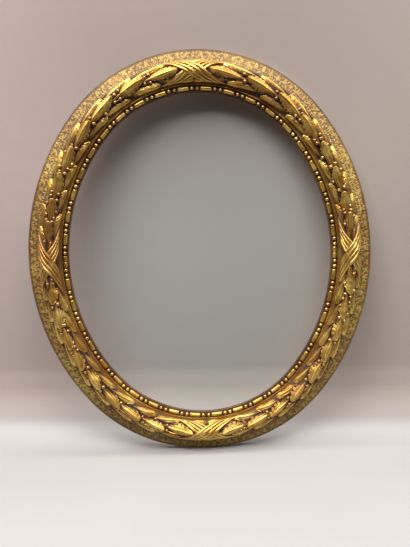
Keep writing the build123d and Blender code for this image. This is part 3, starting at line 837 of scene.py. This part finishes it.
def make_wire_ring():
    """D-ring of round wire: bar, two corners, two legs and a half circle."""
    low, side = EYE_Z - RING_CORNER, RING_HALF - RING_CORNER
    bends = [
        (side, low, RING_CORNER, np.linspace(np.pi / 2, 0, 9)),
        (0.0, low - RING_LEG, RING_HALF, np.linspace(0, -np.pi, 33)),
        (-side, low, RING_CORNER, np.linspace(np.pi, np.pi / 2, 9)),
    ]
    middle = np.concatenate([arc(x, z, EYE_RISE, radius, angles) for x, z, radius, angles in bends])
    outward = np.concatenate([arc(0, 0, -BACK_Y, 1, angles) for _, _, _, angles in bends])
    spin = np.linspace(0, 2 * np.pi, 16, endpoint=False)[None, :, None]
    section = outward[:, None] * np.cos(spin) + np.array([0.0, 1.0, 0.0]) * np.sin(spin)
    shell = Shell()
    shell.loft(middle[:, None] + WIRE_RADIUS * section, 0.5, joined=True)
    return shell


# ---- The pieces, with the width of worn edges in metres

RAIL_EDGE, KEY_EDGE, METAL_EDGE = 0.0009, 0.0007, 0.0003


def place_piece(shell, name, material, node_name, flips=(1, 1), body="frame"):
    """Make a piece, let it ride on its body and stand for its solid."""
    obj = shell.piece(name, material, flips)
    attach(obj, body)
    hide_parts(node_name)


def make_gilded_pieces():
    """All carved and gilded pieces of the front."""
    bright = gilding("gilding_leaf", age=0.06)
    shiny = gilding("gilding_berry", age=0.34, red=0.9, varnish=0.8)
    worn = gilding("gilding_ground", age=0.17)
    sanded = gilding("gilding_band", age=0.11, red=0.0, varnish=0.0, shine=0.2, level=0.62)
    strip = gilding("gilding_strip", red=0.6, varnish=0.3)
    bound = gilding("gilding_ribbon", age=0.12, red=0.65)
    for quarter, flips in QUARTERS.items():
        seed = SEEDS[quarter]
        garland = "garland_" + quarter
        place_piece(make_core(), "moulding_" + quarter, worn, garland, flips)
        place_piece(make_leaves(quarter), "laurel_" + quarter, bright, garland, flips)
        place_piece(make_berries(quarter), "berries_" + quarter, shiny, garland, flips)
        place_piece(make_band(seed), "outer_band_" + quarter, sanded, garland, flips)
        place_piece(make_beads(seed), "beads_" + quarter, strip, "bead_strip_" + quarter, flips)
    top, right = make_ribbon(0.0, 71), make_ribbon(quarter_length(TORUS_U), 83)
    place_piece(top, "bow_top", bound, "ribbon_top")
    place_piece(top, "bow_bottom", bound, "ribbon_bottom", (1, -1))
    place_piece(right, "bow_right", bound, "ribbon_right")
    place_piece(right, "bow_left", bound, "ribbon_left", (-1, 1))


def soften(solid, width):
    """Worn, rounded edges on a solid."""
    bevel = solid.modifiers.new("edges", "BEVEL")
    bevel.width = width
    bevel.segments = 2
    bevel.limit_method = "ANGLE"
    bevel.angle_limit = math.radians(35)


def finish_back():
    """Screws and ring of the back, and the materials and edges of the solids that stay."""
    level = wood("pine_level", srgb(186, 150, 104), srgb(128, 88, 52), 0)
    upright = wood("pine_upright", srgb(182, 146, 102), srgb(124, 86, 50), 2)
    keys = wood("key_oak", srgb(128, 90, 54), srgb(72, 46, 26), 2, 1.6)
    brass = aged_metal("brass_old", srgb(206, 170, 96), srgb(126, 96, 52), 0.9, 0.32)
    steel = aged_metal("steel_old", srgb(164, 160, 152), srgb(92, 84, 74), 0.85, 0.4)
    pivots, straps = make_pivot_screws(), make_strap_screws()
    place_piece(pivots, "slotted_pivot_screws", steel, "pivot_screws")
    place_piece(straps, "slotted_strap_screws", steel, "hanger_screws")
    place_piece(make_wire_ring(), "wire_ring", brass, "hanging_ring", body="ring")
    for name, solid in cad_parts.items():
        if solid.hide_render:
            continue
        material, edge = brass, METAL_EDGE
        if name.startswith("back_rail"):
            material, edge = (level if name.endswith(("top", "bottom")) else upright), RAIL_EDGE
        elif name.startswith("joint_key"):
            material, edge = keys, KEY_EDGE
        solid.data.materials.clear()
        solid.data.materials.append(material)
        soften(solid, edge)


# ---- Camera, stage and light, in metres

CAMERA_PLACE, CAMERA_AIM = Vector((-0.0059, -1.0395, 0.0924)), Vector((0.0076, 0.0211, -0.0336))
CAMERA_ROLL, CAMERA_LENS = math.radians(1.99), 36.86


def make_camera():
    """Camera at the photograph's place, rolled so that the frame leans a little to the left."""
    view = (CAMERA_AIM - CAMERA_PLACE).normalized()
    right = view.cross(Vector((0, 0, 1))).normalized()
    up = right.cross(view)
    rolled_up = up * math.cos(CAMERA_ROLL) + right * math.sin(CAMERA_ROLL)
    rolled_right = right * math.cos(CAMERA_ROLL) - up * math.sin(CAMERA_ROLL)
    turned = Matrix((rolled_right, rolled_up, -view)).transposed().to_4x4()
    data = bpy.data.cameras.new("camera")
    data.lens = CAMERA_LENS
    data.sensor_width = 36.0
    data.clip_start, data.clip_end = 0.01, 50
    camera = bpy.data.objects.new("camera", data)
    camera.matrix_world = Matrix.Translation(CAMERA_PLACE) @ turned
    bpy.context.scene.collection.objects.link(camera)
    bpy.context.scene.camera = camera


FLOOR_Z, FLOOR_HALF, WALL_HALF, WALL_RISE = -0.3745, 4, 1.6, 1.3
WALL_FOOT, WALL_YAW, WALL_LEAN, SWEEP_RADIUS = 0.18, math.radians(-5.5), math.radians(11.5), 0.1
# The second floor tone is a painted pool of light behind the frame
FLOOR_TONE, FLOOR_PAINTED_LIGHT_TONE, FLOOR_FRONT_TONE = srgb(158, 156, 156), srgb(168, 166, 166), srgb(70, 60, 50)
FLOOR_CLOUD_TONE = srgb(170, 165, 162)
WALL_LEFT_TONE, WALL_RIGHT_TONE = srgb(188, 170, 169), srgb(177, 168, 160)
# The middle, crown and foot tones of the wall are painted shade
WALL_MIDDLE_SHADE_TONE = srgb(161, 163, 159)
WALL_CLOUD_TONE, WALL_GRAIN_TONE = srgb(174, 166, 161), srgb(166, 157, 152)
WALL_CROWN_SHADE_TONE, WALL_FOOT_SHADE_TONE = srgb(131, 120, 116), srgb(110, 103, 98)


def stage_sheet(name, rows, material):
    """Stage surface from rows of points."""
    rows = np.array(rows, float)
    count, across = rows.shape[:2]
    index = np.arange(count * across).reshape(count, across)
    quads = np.stack([index[:-1, :-1], index[:-1, 1:], index[1:, 1:], index[1:, :-1]], -1).reshape(-1, 4)
    mesh = bpy.data.meshes.new(name)
    mesh.from_pydata(rows.reshape(-1, 3).tolist(), [], quads.tolist())
    mesh.polygons.foreach_set("use_smooth", [True] * len(mesh.polygons))
    mesh.materials.append(material)
    obj = bpy.data.objects.new(name, mesh)
    bpy.context.scene.collection.objects.link(obj)
    obj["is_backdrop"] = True
    return obj


def seen_pale(tree, tone, share):
    """The tone where it is seen or mirrored, and a share of it for the light that it spreads."""
    path = node(tree, "ShaderNodeLightPath")
    seen = math_node(tree, "MAXIMUM", path.outputs["Is Camera Ray"], path.outputs["Is Glossy Ray"])
    seen = math_node(tree, "MAXIMUM", seen, path.outputs["Is Transmission Ray"])
    dim = mix(tree, share, (0, 0, 0, 1), tone)
    return mix(tree, seen, dim, tone)


def distance(tree, where, centre, scale):
    """Distance from a centre on the wall, with its own scale along each axis."""
    away = vector_math(tree, "SUBTRACT", where, centre)[0]
    away = vector_math(tree, "MULTIPLY", away, scale)[0]
    return vector_math(tree, "LENGTH", away)["Value"]


def wall_tone(tree, where):
    """Paint that is pinkish at the left, with painted shade: a darker grey in the middle behind the frame,
    darker at the crown, and a dark band at the foot of the sweep.
    """
    parts = node(tree, "ShaderNodeSeparateXYZ", {0: where}).outputs
    cloud = noise(tree, where, 2.2, 2, 0.5)
    grain = noise(tree, where, 40, 3, 0.5)
    # Painted shade: darker grey-green in the middle, behind the frame
    middle = ramp(tree, distance(tree, where, (0, 0, 0), (3.4, 0, 2.3)), 0.5, 1.15, 1.0, 0.0)
    # Painted shade at the crown
    crown_shade = ramp(tree, distance(tree, where, (0, 0, 0.45), (1.9, 0, 2.4)), 0.2, 1.2, 0.5, 0.0)
    rise = ramp(tree, parts["Z"], FLOOR_Z, FLOOR_Z + 0.022)
    # Painted shade in a band at the foot of the sweep
    foot = product(tree, rise, ramp(tree, parts["Z"], FLOOR_Z + 0.115, FLOOR_Z + 0.075))
    tone = mix(tree, ramp(tree, parts["X"], -0.5, 0.5), WALL_LEFT_TONE, WALL_RIGHT_TONE)
    tone = mix(tree, ramp(tree, cloud, 0.35, 0.65, 0.0, 0.4), tone, WALL_CLOUD_TONE)
    tone = mix(tree, middle, tone, WALL_MIDDLE_SHADE_TONE)
    tone = mix(tree, crown_shade, tone, WALL_CROWN_SHADE_TONE)
    tone = mix(tree, ramp(tree, grain, 0.3, 0.7, 0.0, 0.1), tone, WALL_GRAIN_TONE)
    # The wall's lowest part takes the floor's paler tone of painted light
    tone = mix(tree, ramp(tree, parts["Z"], FLOOR_Z + 0.06, FLOOR_Z), tone, FLOOR_PAINTED_LIGHT_TONE)
    return mix(tree, product(tree, foot, 0.48), tone, WALL_FOOT_SHADE_TONE)


def wall_material():
    """Painted wall that turns into the floor and shows only from its front."""
    material, tree, output = new_material("stage_wall")
    where = node(tree, "ShaderNodeTexCoord").outputs["Object"]
    paint = node(tree, "ShaderNodeBsdfDiffuse", {"Color": seen_pale(tree, wall_tone(tree, where), 0.6)})
    clear = node(tree, "ShaderNodeBsdfTransparent")
    behind = node(tree, "ShaderNodeNewGeometry").outputs["Backfacing"]
    both = node(tree, "ShaderNodeMixShader", {0: behind, 1: paint.outputs[0], 2: clear.outputs[0]})
    finish_material(tree, output, both.outputs[0])
    return material


def floor_material():
    """Pale floor with painted light that makes it a little paler behind the frame, and dark well in front
    of it, out of the picture.
    """
    material, tree, output = new_material("stage_floor")
    where = node(tree, "ShaderNodeTexCoord").outputs["Object"]
    cloud = noise(tree, where, 3, 2, 0.5)
    tone = mix(tree, ramp(tree, cloud, 0.3, 0.7, 0.0, 0.15), FLOOR_TONE, FLOOR_CLOUD_TONE)
    ahead = node(tree, "ShaderNodeSeparateXYZ", {0: where}).outputs["Y"]
    # Painted light: paler near the wall's foot, behind the frame
    tone = mix(tree, ramp(tree, ahead, -0.12, 0.06), tone, FLOOR_PAINTED_LIGHT_TONE)
    tone = mix(tree, ramp(tree, ahead, -0.33, -0.55), tone, FLOOR_FRONT_TONE)
    paint = node(tree, "ShaderNodeBsdfDiffuse", {"Color": seen_pale(tree, tone, 0.45)})
    finish_material(tree, output, paint.outputs[0])
    return material


def make_stage():
    """Pale floor that sweeps up into the wall that the frame leans against."""
    reach = (-FLOOR_HALF, FLOOR_HALF)
    flat = [[(x, y, FLOOR_Z) for x in reach] for y in reach]
    stage_sheet("floor", flat, floor_material())
    turn = math.pi / 2 + WALL_LEAN
    start = WALL_FOOT - SWEEP_RADIUS * math.tan(turn / 2)
    low = FLOOR_Z + 0.0003
    line = [(start - 0.02, low)]
    for angle in np.linspace(0, turn, 17):
        line.append((start + SWEEP_RADIUS * math.sin(angle), low + SWEEP_RADIUS * (1 - math.cos(angle))))
    end_y, end_z = line[-1]
    line.append((end_y - WALL_RISE * math.sin(WALL_LEAN), end_z + WALL_RISE * math.cos(WALL_LEAN)))
    rows = [[(x, y + x * math.tan(WALL_YAW), z) for x in (-WALL_HALF, WALL_HALF)] for y, z in line]
    wall = stage_sheet("wall", rows, wall_material())
    wall.visible_shadow = False


# Name, place, size, power and colour of each lamp; all are aimed at the middle of the frame
LAMPS = (
    ("lamp_key", (-0.2, -1.4, 1.7), (2.0, 1.0), 75, (1.0, 0.98, 0.95)),
    ("lamp_top", (0.1, -0.25, 2.6), (2.4, 1.1), 28, (1.0, 0.98, 0.96)),
    ("lamp_right", (1.5, -0.15, 1.75), (0.8, 0.8), 33, (1.0, 0.97, 0.92)),
    ("lamp_left", (-1.5, -0.15, 1.75), (0.8, 0.8), 27, (1.0, 0.97, 0.94)),
    ("lamp_back", (0.4, 1.8, 1.2), (1.2, 1.2), 20, (1.0, 1.0, 1.0)),
)
SKY_LOW, SKY_HIGH, SKY_STRENGTH = srgb(64, 59, 54), srgb(250, 247, 240), 0.8


def area_light(name, place, size, watts, colour):
    """Soft rectangular lamp."""
    data = bpy.data.lights.new(name, "AREA")
    data.shape = "RECTANGLE"
    data.size, data.size_y = size
    data.energy = watts
    data.color = colour
    lamp = bpy.data.objects.new(name, data)
    lamp.location = place
    lamp.rotation_euler = (-Vector(place)).to_track_quat("-Z", "Y").to_euler()
    bpy.context.scene.collection.objects.link(lamp)
    return lamp


def make_light():
    """Broad lamps in front, above and at both sides, and one behind that lights the frame alone."""
    lamps = {lamp[0]: area_light(*lamp) for lamp in LAMPS}
    lit = bpy.data.collections.new("lit_from_behind")
    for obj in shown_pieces():
        lit.objects.link(obj)
    lamps["lamp_back"].light_linking.receiver_collection = lit


def make_surround():
    """Sky that is pale above and dim at eye level."""
    world = bpy.data.worlds.new("surround")
    bpy.context.scene.world = world
    world.use_nodes = True
    tree = world.node_tree
    direction = node(tree, "ShaderNodeTexCoord").outputs["Generated"]
    up = node(tree, "ShaderNodeSeparateXYZ", {0: direction}).outputs["Z"]
    sky = tree.nodes["Background"].inputs
    tree.links.new(mix(tree, ramp(tree, up, 0.05, 0.7), SKY_LOW, SKY_HIGH), sky["Color"])
    sky["Strength"].default_value = SKY_STRENGTH


make_camera()
make_stage()
make_gilded_pieces()
finish_back()
make_light()
make_surround()
bpy.context.scene.view_settings.view_transform = "Standard"
